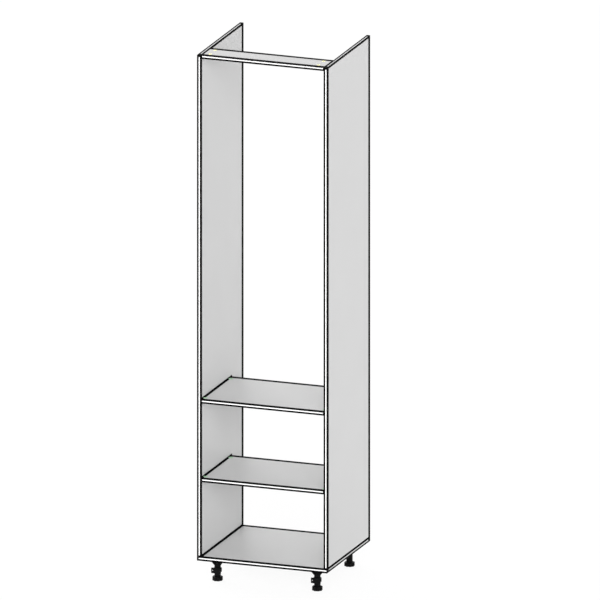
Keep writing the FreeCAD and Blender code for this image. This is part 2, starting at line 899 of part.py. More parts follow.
def plinth_clip(name, x, y):
    """A clip on a front leg: a plate for the plinth, two arms and an open ring on the tube."""
    body = new_body(name)
    bore = size.tube_radius + size.running_clearance
    outer = bore + size.clip_ring_wall
    half_plate = size.clip_plate_width / 2
    plate_back = size.clip_plate_thickness - size.clip_reach
    plate = sketch_on(body, "XZ_Plane", "clip_plate_outline", size.clip_reach)
    tall, corner = size.clip_plate_height, size.clip_plate_corner
    outline(
        plate,
        [
            (corner - half_plate, 0), (half_plate - corner, 0), (half_plate, corner),
            (half_plate, tall - corner), (half_plate - corner, tall),
            (corner - half_plate, tall), (-half_plate, tall - corner), (-half_plate, corner),
        ],
        {1: corner, 3: corner, 5: corner, 7: corner},
    )
    feature = pad(body, plate, "clip_plate", size.clip_plate_thickness)
    feature.Reversed = True
    ring_base = size.clip_ring_rise
    ring = sketch_on(body, "XY_Plane", "clip_ring_outline", ring_base)
    circle(ring, 0, 0, outer)
    pad(body, ring, "clip_ring", size.clip_ring_height)
    for hand in (-1, 1):
        side = "left" if hand < 0 else "right"
        arm = sketch_on(body, "XY_Plane", "clip_arm_outline_" + side, ring_base)
        middle = size.clip_arm_spacing / 2 * hand
        half_arm = size.clip_arm_thickness / 2
        rectangle(
            arm, middle - half_arm, plate_back - size.clip_plate_thickness / 2,
            middle + half_arm, -bore / 2,
        )
        pad(body, arm, "clip_arm_" + side, size.clip_ring_height)
        lip = sketch_on(body, "XY_Plane", "clip_lip_outline_" + side, ring_base)
        lip_x = size.clip_mouth_width / 2
        lip_circle = bore + size.clip_lip_radius
        rise_share = math.sqrt(1 - (lip_x.value / lip_circle.value) ** 2)
        circle(lip, lip_x * hand, lip_circle * rise_share, size.clip_lip_radius)
        pad(body, lip, "clip_lip_" + side, size.clip_ring_height)
    bores(
        body, "clip_bore", "XY_Plane", ZERO, [(0, 0)],
        bore, size.clip_plate_height + size.cut_overrun, True,
    )
    mouth = sketch_on(body, "XY_Plane", "clip_mouth_outline")
    half_mouth = size.clip_mouth_width / 2 - size.clip_lip_radius / 2
    rectangle(mouth, -half_mouth, 0, half_mouth, outer + size.cut_overrun)
    pocket(body, mouth, "clip_mouth", size.clip_plate_height, True)
    half_spacing = size.clip_screw_spacing / 2
    holes = [(-half_spacing, tall / 2), (half_spacing, tall / 2)]
    bores(
        body, "clip_screw_bores", "XZ_Plane", size.clip_reach + size.cut_overrun, holes,
        size.clip_screw_bore_radius, size.clip_plate_thickness + size.cut_overrun * 2,
    )
    free_tube_top = size.leg_height - size.socket_height
    put(body, x, y, (size.foot_height + free_tube_top - tall) / 2 + size.clip_rise)
    return keep(body)


def legs():
    """Four legs, each with its own socket, tube, spindle and foot, and clips at the front."""
    screw = socket_screw_master()
    screw_base = size.leg_height - size.socket_plate_thickness
    for place, (x, y) in leg_places.items():
        leg_socket("leg_socket_" + place, x, y)
        leg_tube("leg_tube_" + place, x, y)
        leg_spindle("leg_spindle_" + place, x, y)
        leg_foot("leg_foot_" + place, x, y)
        group_of(
            "leg_socket_screws_" + place, screw,
            [(x + dx, y + dy, screw_base, 0, Z_AXIS) for dx, dy in socket_screw_offsets()],
        )
        if place.startswith("front"):
            plinth_clip("plinth_clip_" + place, x, y)


def check_document():
    """Stops if anything failed to build, or if a cut took nothing away."""
    document.recompute()
    for thing in document.Objects:
        if "Invalid" in thing.State or "Error" in thing.State:
            raise RuntimeError("%s failed: %s" % (thing.Name, thing.State))
        if thing.TypeId in ("PartDesign::Pocket", "PartDesign::Groove"):
            if thing.Shape.Volume >= thing.BaseFeature.Shape.Volume:
                raise RuntimeError("%s cuts nothing" % thing.Name)
    for piece in pieces:
        if piece.Shape.isNull() or not piece.Shape.isValid():
            raise RuntimeError("%s has no valid shape" % piece.Label)


def write_pieces():
    os.makedirs("parts", exist_ok=True)
    for piece in pieces:
        piece.Shape.exportStep("parts/%s.step" % piece.Label)
        print("%-32s %2d solids %12.0f mm3" % (piece.Label, len(piece.Shape.Solids), piece.Shape.Volume))


side_panel("side_panel_left", -1)
side_panel("side_panel_right", 1)
bottom_panel()
top_rail()
shelf("lower_shelf", lower_shelf_base)
shelf("upper_shelf", upper_shelf_base)
bands()
carcass_fittings()
legs()
check_document()
write_pieces()
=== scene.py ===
import json
import math

import bmesh
import bpy
from bpy.props import FloatProperty, FloatVectorProperty, IntProperty, PointerProperty
from bpy.types import Operator, Panel, PropertyGroup
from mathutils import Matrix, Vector

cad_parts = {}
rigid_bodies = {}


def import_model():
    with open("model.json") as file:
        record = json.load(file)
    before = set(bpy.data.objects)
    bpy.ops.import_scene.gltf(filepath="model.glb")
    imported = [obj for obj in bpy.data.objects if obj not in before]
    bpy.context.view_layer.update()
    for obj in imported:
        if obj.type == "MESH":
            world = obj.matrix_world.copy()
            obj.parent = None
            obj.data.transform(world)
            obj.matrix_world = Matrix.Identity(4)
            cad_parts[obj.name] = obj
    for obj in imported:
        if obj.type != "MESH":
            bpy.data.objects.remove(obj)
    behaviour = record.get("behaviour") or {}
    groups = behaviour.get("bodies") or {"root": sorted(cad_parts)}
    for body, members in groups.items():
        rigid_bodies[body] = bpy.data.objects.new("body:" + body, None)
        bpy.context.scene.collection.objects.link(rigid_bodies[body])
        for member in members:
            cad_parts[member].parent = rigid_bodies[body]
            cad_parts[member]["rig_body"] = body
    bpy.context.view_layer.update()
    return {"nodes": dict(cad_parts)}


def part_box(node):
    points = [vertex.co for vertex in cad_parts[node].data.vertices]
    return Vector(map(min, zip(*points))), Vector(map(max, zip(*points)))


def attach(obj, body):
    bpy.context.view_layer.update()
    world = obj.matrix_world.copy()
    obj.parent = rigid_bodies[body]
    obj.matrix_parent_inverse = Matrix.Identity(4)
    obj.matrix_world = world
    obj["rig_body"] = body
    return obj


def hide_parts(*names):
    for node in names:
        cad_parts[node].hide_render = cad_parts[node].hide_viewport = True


bl_info = {
    "name": "Tall Cabinet Carcass",
    "version": (1, 0, 0),
    "blender": (4, 5, 0),
    "location": "3D View > Sidebar > Cabinet",
    "description": "Dresses the packed model of a tall kitchen cabinet carcass on adjustable legs",
    "category": "Add Mesh",
}

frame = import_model()

MM = 0.001
FULL_TURN = math.tau
ORIGIN = (0, 0, 0)
# The corners of a rectangle, as ways from its middle, in the order of their arcs
CORNERS = ((1, -1), (1, 1), (-1, 1), (-1, -1))
RIGHT = Vector((1, 0, 0))
BACK = Vector((0, 1, 0))
UP = Vector((0, 0, 1))

# Points closer than this are one point, and points this near a plane lie on it
DOUBLES = 0.001 * MM
ON_PLANE = 0.0001 * MM
# Cutting leaves slivers narrower than this
SLIVERS = 0.01 * MM
# How far a tool runs past the piece that it cuts, and a part into the one that it joins
OVERRUN = 1 * MM

# Every board with the edge bands that are glued to it
BOARDS = {
    "side_left": ("side_panel_left", "side_front_band_left", "side_top_band_left"),
    "side_right": ("side_panel_right", "side_front_band_right", "side_top_band_right"),
    "bottom": ("bottom_panel", "bottom_front_band", "bottom_end_band_left", "bottom_end_band_right"),
    "rail": ("top_rail", "top_rail_front_band"),
    "lower_shelf": ("lower_shelf", "lower_shelf_front_band"),
    "upper_shelf": ("upper_shelf", "upper_shelf_front_band"),
}
# The axis that each band's outer face looks along, and which way
BAND_FACES = {
    "front_band": (1, -1),
    "top_band": (2, 1),
    "end_band_left": (0, -1),
    "end_band_right": (0, 1),
}
LEGS = ("front_left", "front_right", "back_left", "back_right")
CLIPPED_LEGS = ("front_left", "front_right")
SHELVES = ("lower_shelf", "upper_shelf")


def to_linear(code):
    """The linear colour, with alpha, of an sRGB hex value."""
    parts = [int(code[i:i + 2], 16) / 255 for i in (1, 3, 5)]
    return [c / 12.92 if c <= 0.04045 else ((c + 0.055) / 1.055) ** 2.4 for c in parts] + [1.0]


def colour_prop(name, code, description):
    return FloatVectorProperty(
        name=name, description=description, subtype="COLOR", size=4,
        min=0.0, max=1.0, default=to_linear(code),
    )


def length_prop(name, millimetres, description):
    return FloatProperty(
        name=name, description=description, unit="LENGTH", precision=4, default=millimetres * MM,
    )


def widths_prop(name, millimetres, description):
    return FloatVectorProperty(
        name=name, description=description, unit="LENGTH", precision=4,
        default=[width * MM for width in millimetres],
    )


def number_prop(name, number, description):
    return FloatProperty(name=name, description=description, default=number)


class BoardLook(PropertyGroup):
    """Boards and edge bands."""

    face: colour_prop("Face", "#D7D7D7", "Light grey melamine paper on both sides of a board")
    # Painted light: the front band's white stands for the light on the edges that face the front, while
    # the top and end bands take the face's grey as painted shade; all the bands are one material
    front: colour_prop("Front band", "#F6F6F6", "White band on the front edges")
    line: colour_prop("Line", "#020202", "Dark line along every arris and joint")
    near_lines: widths_prop(
        "Near lines", (8.2, 22.0, 8.2), "Width of the dark line at the left, front and lower arrises",
    )
    far_lines: widths_prop(
        "Far lines", (3.0, 24.0, 9.0), "Width of the dark line at the right, back and upper arrises",
    )
    far_share: number_prop("Far share", 0.18, "The most of a board's side that a far line takes")
    joint_share: number_prop("Joint share", 0.75, "Width of the lines round a joint, as a share of others")
    core: colour_prop("Core", "#C8A878", "Raw chipboard on edges with no band")
    chip: length_prop("Chip", 3.0, "Width of one chip of the core")
    arris: length_prop("Band arris", 0.6, "Radius of the rounded long edges of a band")


class FittingLook(PropertyGroup):
    """Cams, shelf connectors, bolts, screws and dowels."""

    cam: colour_prop("Cam", "#F4F1B4", "Pale yellow passivated zinc")
    connector: colour_prop("Connector", "#B2E0B6", "Pale green polyamide")
    clamp: colour_prop("Clamping cam", "#B9C4B4", "Zinc die casting in the connectors")
    steel: colour_prop("Steel", "#C9CACA", "Zinc plated steel")
    beech: colour_prop("Beech", "#D9B78C", "Bare beech of the dowels")
    cam_radius: length_prop("Cam radius", 7.5, "Radius of a rail cam")
    connector_radius: length_prop("Connector radius", 10.0, "Radius of a connector's housing")
    connector_flat: length_prop("Connector flat", 9.5, "Way from the middle of a housing to its flat side")
    clamp_radius: length_prop("Clamping cam radius", 3.4, "Radius of the cam in a connector")
    mark_depth: length_prop("Mark depth", 0.35, "Depth of grooves and arrow marks")
    thread_pitch: length_prop("Thread pitch", 1.8, "Pitch of the screws' and bolts' thread")
    flutes: IntProperty(name="Flutes", description="Number of flutes round a dowel", default=16)


class LegLook(PropertyGroup):
    """Legs and plinth clips."""

    plastic: colour_prop("Plastic", "#0A0A0A", "Black moulded polypropylene")
    grain: length_prop("Grain", 0.8, "Spacing of the mould's spark-eroded grain")
    edge: length_prop("Edge", 0.5, "Radius of the moulded edges")
    foot_edge: length_prop("Foot edge", 1.6, "Radius round the foot's lobes, above and below")
    spindle_pitch: length_prop("Spindle pitch", 3.0, "Rise of the spindle's thread in one turn")
    spindle_thread: length_prop("Spindle thread", 1.4, "Depth of the spindle's thread")
    lobes: IntProperty(name="Lobes", description="Number of lobes round a foot", default=8)


class StageLook(PropertyGroup):
    """Floor, light and camera."""

    floor: colour_prop("Floor", "#FFFFFF", "Plain white floor")
    floor_size: length_prop("Floor size", 60000.0, "Side of the floor")
    azimuth: FloatProperty(
        name="Azimuth", description="How far the camera stands round to the right of the front",
        subtype="ANGLE", default=math.radians(20.0),
    )
    elevation: FloatProperty(
        name="Elevation", description="How far the camera looks down",
        subtype="ANGLE", default=math.radians(16.0),
    )
    view_size: length_prop("View size", 2600.4, "Height of the view")
    view_right: length_prop("View right", 71.3, "Middle of the view to the right")
    view_up: length_prop("View up", 1182.8, "Middle of the view upwards")
    world: number_prop("World", 0.46, "Strength of the even light from all round")
    key: number_prop("Key", 3.8, "Strength of the soft light from the front right")
    fill: number_prop("Fill", 1.3, "Strength of the soft light from behind")


GROUPS = {"boards": BoardLook, "fittings": FittingLook, "legs": LegLook, "stage": StageLook}


def look(group):
    return getattr(bpy.context.scene, "cabinet_" + group)


# Modelling

def pick(*pieces):
    """Selects only these pieces, the first one active."""
    bpy.ops.object.select_all(action="DESELECT")
    for piece in pieces:
        piece.select_set(True)
    if pieces:
        bpy.context.view_layer.objects.active = pieces[0]


def open_mesh(piece):
    """Enters edit mode with all of the piece selected."""
    pick(piece)
    bpy.ops.object.mode_set(mode="EDIT")
    bpy.ops.mesh.select_all(action="SELECT")


def close_mesh():
    """Merges doubles, turns every face outwards and leaves edit mode."""
    bpy.ops.mesh.select_all(action="SELECT")
    bpy.ops.mesh.remove_doubles(threshold=DOUBLES)
    bpy.ops.mesh.normals_make_consistent(inside=False)
    bpy.ops.object.mode_set(mode="OBJECT")


def arc(centre, radius, start, end, count):
    """An arc of an outline, as count stretches between two angles in degrees."""
    turns = [math.radians(start + (end - start) * k / count) for k in range(count + 1)]
    across, up = centre
    return [(across + radius * math.cos(turn), up + radius * math.sin(turn)) for turn in turns]


def rectangle(low, high, radius, count, square=()):
    """The outline of a rectangle, whose corners are arcs but for the square ones."""
    outline = []
    for number, (x, y) in enumerate(CORNERS):
        corner = ((low, high)[x > 0][0], (low, high)[y > 0][1])
        centre, start = (corner[0] - radius * x, corner[1] - radius * y), 90 * (number - 1)
        outline += [corner] if (x, y) in square else arc(centre, radius, start, start + 90, count)
    return outline


def draw(places):
    """A new piece, drawn as a line from place to place, left in edit mode and all selected."""
    pick()
    bpy.ops.mesh.primitive_plane_add(size=MM)
    piece = bpy.context.object
    bpy.ops.object.mode_set(mode="EDIT")
    bpy.ops.mesh.select_mode(type="VERT")
    bpy.ops.mesh.merge(type="CENTER")
    bpy.ops.transform.translate(value=places[0])
    for near, far in zip(places, places[1:]):
        bpy.ops.mesh.extrude_vertices_move(TRANSFORM_OT_translate={"value": far - near})
    bpy.ops.mesh.select_all(action="SELECT")
    return piece


def turned(outline, centre=Vector(), along=UP, out=RIGHT, steps=48):
    """A round piece. Its half outline, in (radius, height) pairs, is spun round the axis."""
    piece = draw([centre + out * radius + along * height for radius, height in outline])
    bpy.ops.mesh.spin(steps=steps, angle=FULL_TURN, center=centre, axis=along)
    close_mesh()
    return piece


def slab(outline, base, thickness, along=UP, taper=1.0):
    """A flat outline, given in pairs on the two other axes, extruded along an axis from a base. The
    far face can be smaller by a taper."""
    across, side = [axis for axis in (RIGHT, BACK, UP) if axis != along]
    corners = [across * a + side * b + along * base for a, b in outline]
    piece = draw([*corners, corners[0]])
    bpy.ops.mesh.remove_doubles(threshold=DOUBLES)
    bpy.ops.mesh.select_all(action="SELECT")
    bpy.ops.mesh.edge_face_add()
    bpy.ops.mesh.extrude_region_move(TRANSFORM_OT_translate={"value": along * thickness})
    if taper != 1.0:
        middle = sum(corners, Vector()) / len(corners) + along * thickness
        bpy.ops.transform.resize(value=(taper, taper, taper), center_override=middle)
    close_mesh()
    return piece


def modify(piece, kind, **settings):
    """Adds a modifier with its settings and applies it."""
    modifier = piece.modifiers.new(kind, kind)
    for name, value in settings.items():
        setattr(modifier, name, value)
    pick(piece)
    bpy.ops.object.modifier_apply(modifier=modifier.name)


def round_edges(piece, width, segments=3):
    """Rounds every sharp edge."""
    limits = {"limit_method": "ANGLE", "angle_limit": math.radians(35)}
    modify(piece, "BEVEL", width=width, segments=segments, **limits)


def combine(piece, operation, *tools):
    """Joins tools to a piece (UNION) or cuts them out of it (DIFFERENCE), and merges slivers."""
    for tool in tools:
        modify(piece, "BOOLEAN", operation=operation, solver="EXACT", object=tool)
        bpy.data.objects.remove(tool)
    open_mesh(piece)
    bpy.ops.mesh.remove_doubles(threshold=SLIVERS)
    bpy.ops.object.mode_set(mode="OBJECT")


def select_where(piece, test):
    """In edit mode, selects only the vertices whose place passes the test."""
    bpy.ops.mesh.select_mode(type="VERT")
    bpy.ops.mesh.select_all(action="DESELECT")
    mesh = bmesh.from_edit_mesh(piece.data)
    for vertex in mesh.verts:
        vertex.select_set(bool(test(vertex.co)))
    mesh.select_flush(True)
    bmesh.update_edit_mesh(piece.data)


def settle(piece, node, material):
    """The finished piece, its place applied to its mesh, stands for its node on the node's body."""
    pick(piece)
    bpy.ops.object.transform_apply(location=True, rotation=True, scale=True)
    bpy.ops.object.shade_smooth_by_angle(angle=math.radians(32))
    piece.name = node + "_piece"
    piece.data.name = piece.name
    piece.data.materials.clear()
    piece.data.materials.append(material)
    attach(piece, frame["nodes"][node]["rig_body"])
    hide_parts(node)


def settle_copies(piece, spots, material):
    """Copies a piece that was modelled at the origin. Spots gives each node its (place, half turned)
    pairs, and each node's copies are one mesh of its own."""
    for node, pairs in spots.items():
        copies = []
        for place, half_turned in pairs:
            pick(piece)
            bpy.ops.object.duplicate()
            if half_turned:
                bpy.ops.transform.rotate(value=FULL_TURN / 2, orient_axis="Z", center_override=ORIGIN)
            bpy.ops.transform.translate(value=place)
            copies.append(bpy.context.object)
        pick(*copies)
        if len(copies) > 1:
            bpy.ops.object.join()
        settle(copies[0], node, material)
    bpy.data.objects.remove(piece)


def size_of(node):
    low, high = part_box(node)
    return high - low


def corner_spots(node, reach_x, reach_y):
    """Where the pieces at a node's four corners lie, at its lowest height, half turned at the right."""
    low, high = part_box(node)
    columns = ((low.x + reach_x, False), (high.x - reach_x, True))
    rows = (low.y + reach_y, high.y - reach_y)
    return [(Vector((x, y, low.z)), half_turned) for y in rows for x, half_turned in columns]


# Materials

def add_node(tree, kind, inputs=None, **settings):
    """Adds a shader node with its settings, and sets or links its inputs. A node given as an input
    stands for its first output."""
    node = tree.nodes.new("ShaderNode" + kind)
    for name, value in settings.items():
        setattr(node, name, value)
    for name, value in (inputs or {}).items():
        if isinstance(value, bpy.types.Node):
            value = value.outputs[0]
        if isinstance(value, bpy.types.NodeSocket):
            tree.links.new(value, node.inputs[name])
        else:
            node.inputs[name].default_value = value
    return node


def empty_tree(owner):
    """The emptied node tree of a material or a world."""
    owner.use_nodes = True
    owner.node_tree.nodes.clear()
    return owner.node_tree


def new_material(name):
    """An empty material, with its tree and the place of a point in the piece's own frame."""
    material = bpy.data.materials.new(name)
    tree = empty_tree(material)
    return material, tree, add_node(tree, "TexCoord").outputs["Object"]


def toned(tree, colour, pattern, least, most, span=(0.0, 1.0)):
    """The colour times a tone that goes from least to most as the pattern goes through its span."""
    limits = {"From Min": span[0], "From Max": span[1], "To Min": least, "To Max": most}
    tone = add_node(tree, "MapRange", {"Value": pattern, **limits})
    return add_node(tree, "VectorMath", {0: colour[:3], "Scale": tone}, operation="SCALE")


def finished(material, **sockets):
    """The material with its shader, whose sockets are given by name, with _ for a blank."""
    inputs = {name.replace("_", " "): value for name, value in sockets.items()}
    shader = add_node(material.node_tree, "BsdfPrincipled", inputs)
    add_node(material.node_tree, "OutputMaterial", {"Surface": shader})
    return material


def board_box(board):
    """Lowest and highest corner of a board with its bands."""
    lows, highs = zip(*(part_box(node) for node in BOARDS[board]))
    return Vector(list(map(min, *lows))), Vector(list(map(max, *highs)))


def touching(board):
    """The boards that butt against this one, to within a millimetre."""
    low, high = board_box(board)

    def meets(box):
        return all(box[0][i] < high[i] + MM and box[1][i] > low[i] - MM for i in range(3))

    return [other for other in BOARDS if other != board and meets(board_box(other))]


def least_depths(tree, place, low, high):
    """How deep a point lies in a box along X, Y and Z, less than nought outside: the least and the
    middle one of the three."""
    away = add_node(tree, "VectorMath", {0: place, 1: (low + high) / 2}, operation="SUBTRACT")
    away = add_node(tree, "VectorMath", {0: away}, operation="ABSOLUTE")
    depths = add_node(tree, "VectorMath", {0: (high - low) / 2, 1: away}, operation="SUBTRACT")
    x, y, z = add_node(tree, "SeparateXYZ", {0: depths}).outputs
    smaller = add_node(tree, "Math", {0: x, 1: y}, operation="MINIMUM")
    larger = add_node(tree, "Math", {0: x, 1: y}, operation="MAXIMUM")
    lower = add_node(tree, "Math", {0: larger, 1: z}, operation="MINIMUM")
    least = add_node(tree, "Math", {0: smaller, 1: z}, operation="MINIMUM")
    return least, add_node(tree, "Math", {0: smaller, 1: lower}, operation="MAXIMUM")


def lines_on(tree, place, board, settings):
    """1 on the dark lines: along the board's own arrises, and round each board that butts on it."""
    low, high = board_box(board)
    near = Vector(settings.near_lines)
    far = Vector([min(pair) for pair in zip(settings.far_lines, (high - low) * settings.far_share)])
    # Between its lines a face has one depth of nought or less, and on a line it has two
    _, middle = least_depths(tree, place, low + near, high - far)
    lines = add_node(tree, "Math", {0: middle, 1: 0.0}, operation="LESS_THAN")
    # Lines round another board are as narrow along Y as along X, or they would stick out behind it
    near.y, far.y = near.x, far.x
    near, far = near * settings.joint_share, far * settings.joint_share
    for other in touching(board):
        low, high = board_box(other)
        least, _ = least_depths(tree, place, low - far, high + near)
        joint = add_node(tree, "Math", {0: least, 1: 0.0}, operation="GREATER_THAN")
        lines = add_node(tree, "Math", {0: lines, 1: joint}, operation="MAXIMUM")
    return lines


def lined(material, place, board, colour, rough, bump, ior):
    """A board's or band's material, with the dark lines drawn over it, matt."""
    settings, tree = look("boards"), material.node_tree
    lines = lines_on(tree, place, board, settings)
    drawn = add_node(tree, "Mix", {"Factor": lines, 6: colour, 7: settings.line}, data_type="RGBA")
    rough = add_node(tree, "Math", {0: rough, 1: lines}, operation="MAXIMUM")
    return finished(
        material, Base_Color=drawn.outputs[2], Roughness=rough, IOR=ior, Specular_IOR_Level=0.1,
        Normal=bump,
    )


def melamine_board(board):
    """Melamine-faced chipboard, pressed against a fine-grained plate: an even grey with a dull sheen.
    Where it is cut or bored and has no band, the pressed chips show."""
    settings = look("boards")
    material, tree, place = new_material("melamine_" + board)
    # The plate's grain is 0.3 mm; it is drawn at 4 mm so that it shows
    grain = add_node(tree, "TexNoise", {"Vector": place, "Scale": 1 / (4 * MM), "Detail": 2.0})
    # The paper's tone drifts a little from one hand's width to the next
    cloud = add_node(tree, "TexNoise", {"Vector": place, "Scale": 1 / (250 * MM), "Detail": 1.0})
    paper = toned(tree, settings.face, cloud, 0.993, 1.007, span=(0.3, 0.7))
    # Chips lie flat in the board and are twice as long as they are wide
    chips = add_node(tree, "Mapping", {"Vector": place, "Scale": (0.5, 0.5, 1.4)})
    cells = add_node(tree, "TexVoronoi", {"Vector": chips, "Scale": 1 / settings.chip})
    shade = add_node(tree, "SeparateColor", {0: cells.outputs["Color"]})
    core = toned(tree, settings.core, shade, 0.62, 1.2)
    # Raw are the back edge, and all that lies deeper than the paper, in a bore or a cut
    facing = add_node(tree, "SeparateXYZ", {0: place.node.outputs["Normal"]})
    behind = add_node(tree, "Math", {0: facing.outputs[1], 1: 0.5}, operation="GREATER_THAN")
    depth, _ = least_depths(tree, place, *board_box(board))
    inside = add_node(tree, "Math", {0: depth, 1: 0.3 * MM}, operation="GREATER_THAN")
    raw = add_node(tree, "Math", {0: behind, 1: inside}, operation="MAXIMUM")
    dressed = add_node(tree, "Mix", {"Factor": raw, 6: paper, 7: core}, data_type="RGBA")
    rough = add_node(tree, "MapRange", {"Value": raw, "To Min": 0.42, "To Max": 0.85})
    height = add_node(tree, "Mix", {"Factor": raw, 2: grain, 3: cells})
    bump = add_node(tree, "Bump", {"Height": height, "Strength": 0.12, "Distance": 0.5 * MM})
    return lined(material, place, board, dressed.outputs[2], rough, bump, 1.5)


def edge_band(board, colour, name):
    """ABS edge band, extruded and glued on: smoother and a little glossier than the board's face."""
    material, tree, place = new_material("%s_band_%s" % (name, board))
    # The extruder leaves draw lines a few tenths of a millimetre apart, drawn at 2 mm
    stretch = add_node(tree, "Mapping", {"Vector": place, "Scale": (0.1, 0.1, 0.1)})
    pulled = add_node(tree, "TexNoise", {"Vector": stretch, "Scale": 1 / (2 * MM), "Detail": 3.0})
    rough = add_node(tree, "MapRange", {"Value": pulled, "To Min": 0.28, "To Max": 0.4})
    bump = add_node(tree, "Bump", {"Height": pulled, "Strength": 0.05, "Distance": 0.2 * MM})
    return lined(material, place, board, colour, rough, bump, 1.53)


def moulded_plastic(name, colour, grain, roughness, gloss=0.12, ior=1.49):
    """Injection moulded plastic from a spark-eroded mould: a fine matt grain under a soft gloss."""
    material, tree, place = new_material(name)
    noise = add_node(tree, "TexNoise", {"Vector": place, "Scale": 1 / grain, "Detail": 4.0})
    shade = toned(tree, colour, noise, 0.95, 1.05, span=(0.3, 0.7))
    limits = {"To Min": roughness - 0.08, "To Max": roughness + 0.08}
    rough = add_node(tree, "MapRange", {"Value": noise, **limits})
    bump = add_node(tree, "Bump", {"Height": noise, "Strength": 0.2, "Distance": 0.1 * MM})
    return finished(
        material, Base_Color=shade, Roughness=rough, IOR=ior, Specular_IOR_Level=gloss, Normal=bump,
    )


def black_plastic(part, roughness):
    settings = look("legs")
    return moulded_plastic("black_polypropylene_" + part, settings.plastic, settings.grain, roughness)


def plated_metal(name, colour, roughness):
    """Zinc plated or passivated metal: a crystalline, slightly cloudy shine."""
    material, tree, place = new_material(name)
    # Plating crystals are far under 0.1 mm; they are drawn at 1.2 mm so that they show
    crystals = add_node(tree, "TexVoronoi", {"Vector": place, "Scale": 1 / (1.2 * MM)})
    parts = add_node(tree, "SeparateColor", {0: crystals.outputs["Color"]})
    shade = toned(tree, colour, parts, 0.94, 1.04)
    limits = {"To Min": roughness - 0.05, "To Max": roughness + 0.07}
    rough = add_node(tree, "MapRange", {"Value": parts.outputs[1], **limits})
    return finished(material, Base_Color=shade, Metallic=1.0, Roughness=rough)


def bare_beech(name, colour, stretch):
    """Bare beech, turned: short darker flecks along the grain."""
    material, tree, place = new_material(name)
    along = add_node(tree, "Mapping", {"Vector": place, "Scale": stretch})
    flecks = add_node(tree, "TexNoise", {"Vector": along, "Scale": 1 / (1 * MM), "Detail": 3.0})
    shade = toned(tree, colour, flecks, 0.75, 1.15)
    return finished(material, Base_Color=shade, Roughness=0.7, IOR=1.45)


# Boards and bands

class CABINET_OT_boards(Operator):
    """Finishes the six boards"""

    bl_idname = "cabinet.boards"
    bl_label = "Boards"

    def execute(self, context):
        for board, (panel, *_) in BOARDS.items():
            material = melamine_board(board)
            for slot in frame["nodes"][panel].material_slots:
                slot.material = material
        return {"FINISHED"}


class CABINET_OT_edge_bands(Operator):
    """Makes the edge bands, with rounded long edges"""

    bl_idname = "cabinet.edge_bands"
    bl_label = "Edge bands"

    def execute(self, context):
        settings = look("boards")
        for board, (_, *bands) in BOARDS.items():
            # The front bands are painted white as lit edges and the top and end bands the face's grey as
            # shaded edges: a lit and a shaded copy of one band
            white = edge_band(board, settings.front, "white")
            grey = edge_band(board, settings.face, "grey")
            for node in bands:
                strip = band_strip(node, settings.arris)
                settle(strip, node, white if "front" in node else grey)
        return {"FINISHED"}


def band_strip(node, radius):
    """A strip as large as its node, whose two long edges on the outer face are rounded."""
    axis, way = next(face for part, face in BAND_FACES.items() if part in node)
    low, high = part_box(node)
    size = high - low
    longest = max(range(3), key=lambda other: size[other])
    across, up = [other for other in range(3) if other != longest]
    square = [corner for corner in CORNERS if corner[(across, up).index(axis)] != way]
    outline = rectangle((low[across], low[up]), (high[across], high[up]), radius, 3, square)
    return slab(outline, low[longest], size[longest], along=(RIGHT, BACK, UP)[longest])


# Fittings

def cross_tool(span, width, base, depth):
    """A cross that tapers upwards or downwards from its base, to cut a driver's recess."""
    a, b = span / 2, width / 2
    corners = [
        (a, -b), (a, b), (b, b), (b, a), (-b, a), (-b, b),
        (-a, b), (-a, -b), (-b, -b), (-b, -a), (b, -a), (b, -b),
    ]
    return slab(corners, base, depth, taper=0.7)


def arrow_tool(radius, tip_share, base, depth):
    """A small triangle that points to -X, with its tip at a share of the radius."""
    tip, length = -radius * tip_share, radius * 0.2
    half = length * 0.6
    corners = ((tip, 0), (tip + length, -half), (tip + length, half))
    return slab(corners, base, depth)


def block_tool(low, high):
    corners = ((low.x, low.y), (high.x, low.y), (high.x, high.y), (low.x, high.y))
    return slab(corners, low.z, high.z - low.z)


def threaded_rod(crest, depth, pitch, low, high, along=UP, out=RIGHT, steps=32):
    """A rod with one thread of flat crests and slanted flanks, cut square at both ends."""
    root = crest - depth
    shares = ((root, 0.0), (root, 0.3), (crest, 0.45), (crest, 0.75), (root, 0.9), (root, 1.0))
    base = low - pitch
    rod = draw([out * radius + along * (base + share * pitch) for radius, share in shares])
    bpy.ops.object.mode_set(mode="OBJECT")
    modify(
        rod, "SCREW", axis="Z" if along == UP else "X", angle=FULL_TURN, screw_offset=pitch,
        iterations=math.ceil((high - low) / pitch) + 2, steps=steps, render_steps=steps,
    )
    open_mesh(rod)
    bpy.ops.mesh.remove_doubles(threshold=DOUBLES)
    for height, below in ((low, True), (high, False)):
        bpy.ops.mesh.select_all(action="SELECT")
        bpy.ops.mesh.bisect(
            plane_co=along * height, plane_no=along, use_fill=True,
            clear_inner=below, clear_outer=not below, threshold=ON_PLANE,
        )
    close_mesh()
    return rod


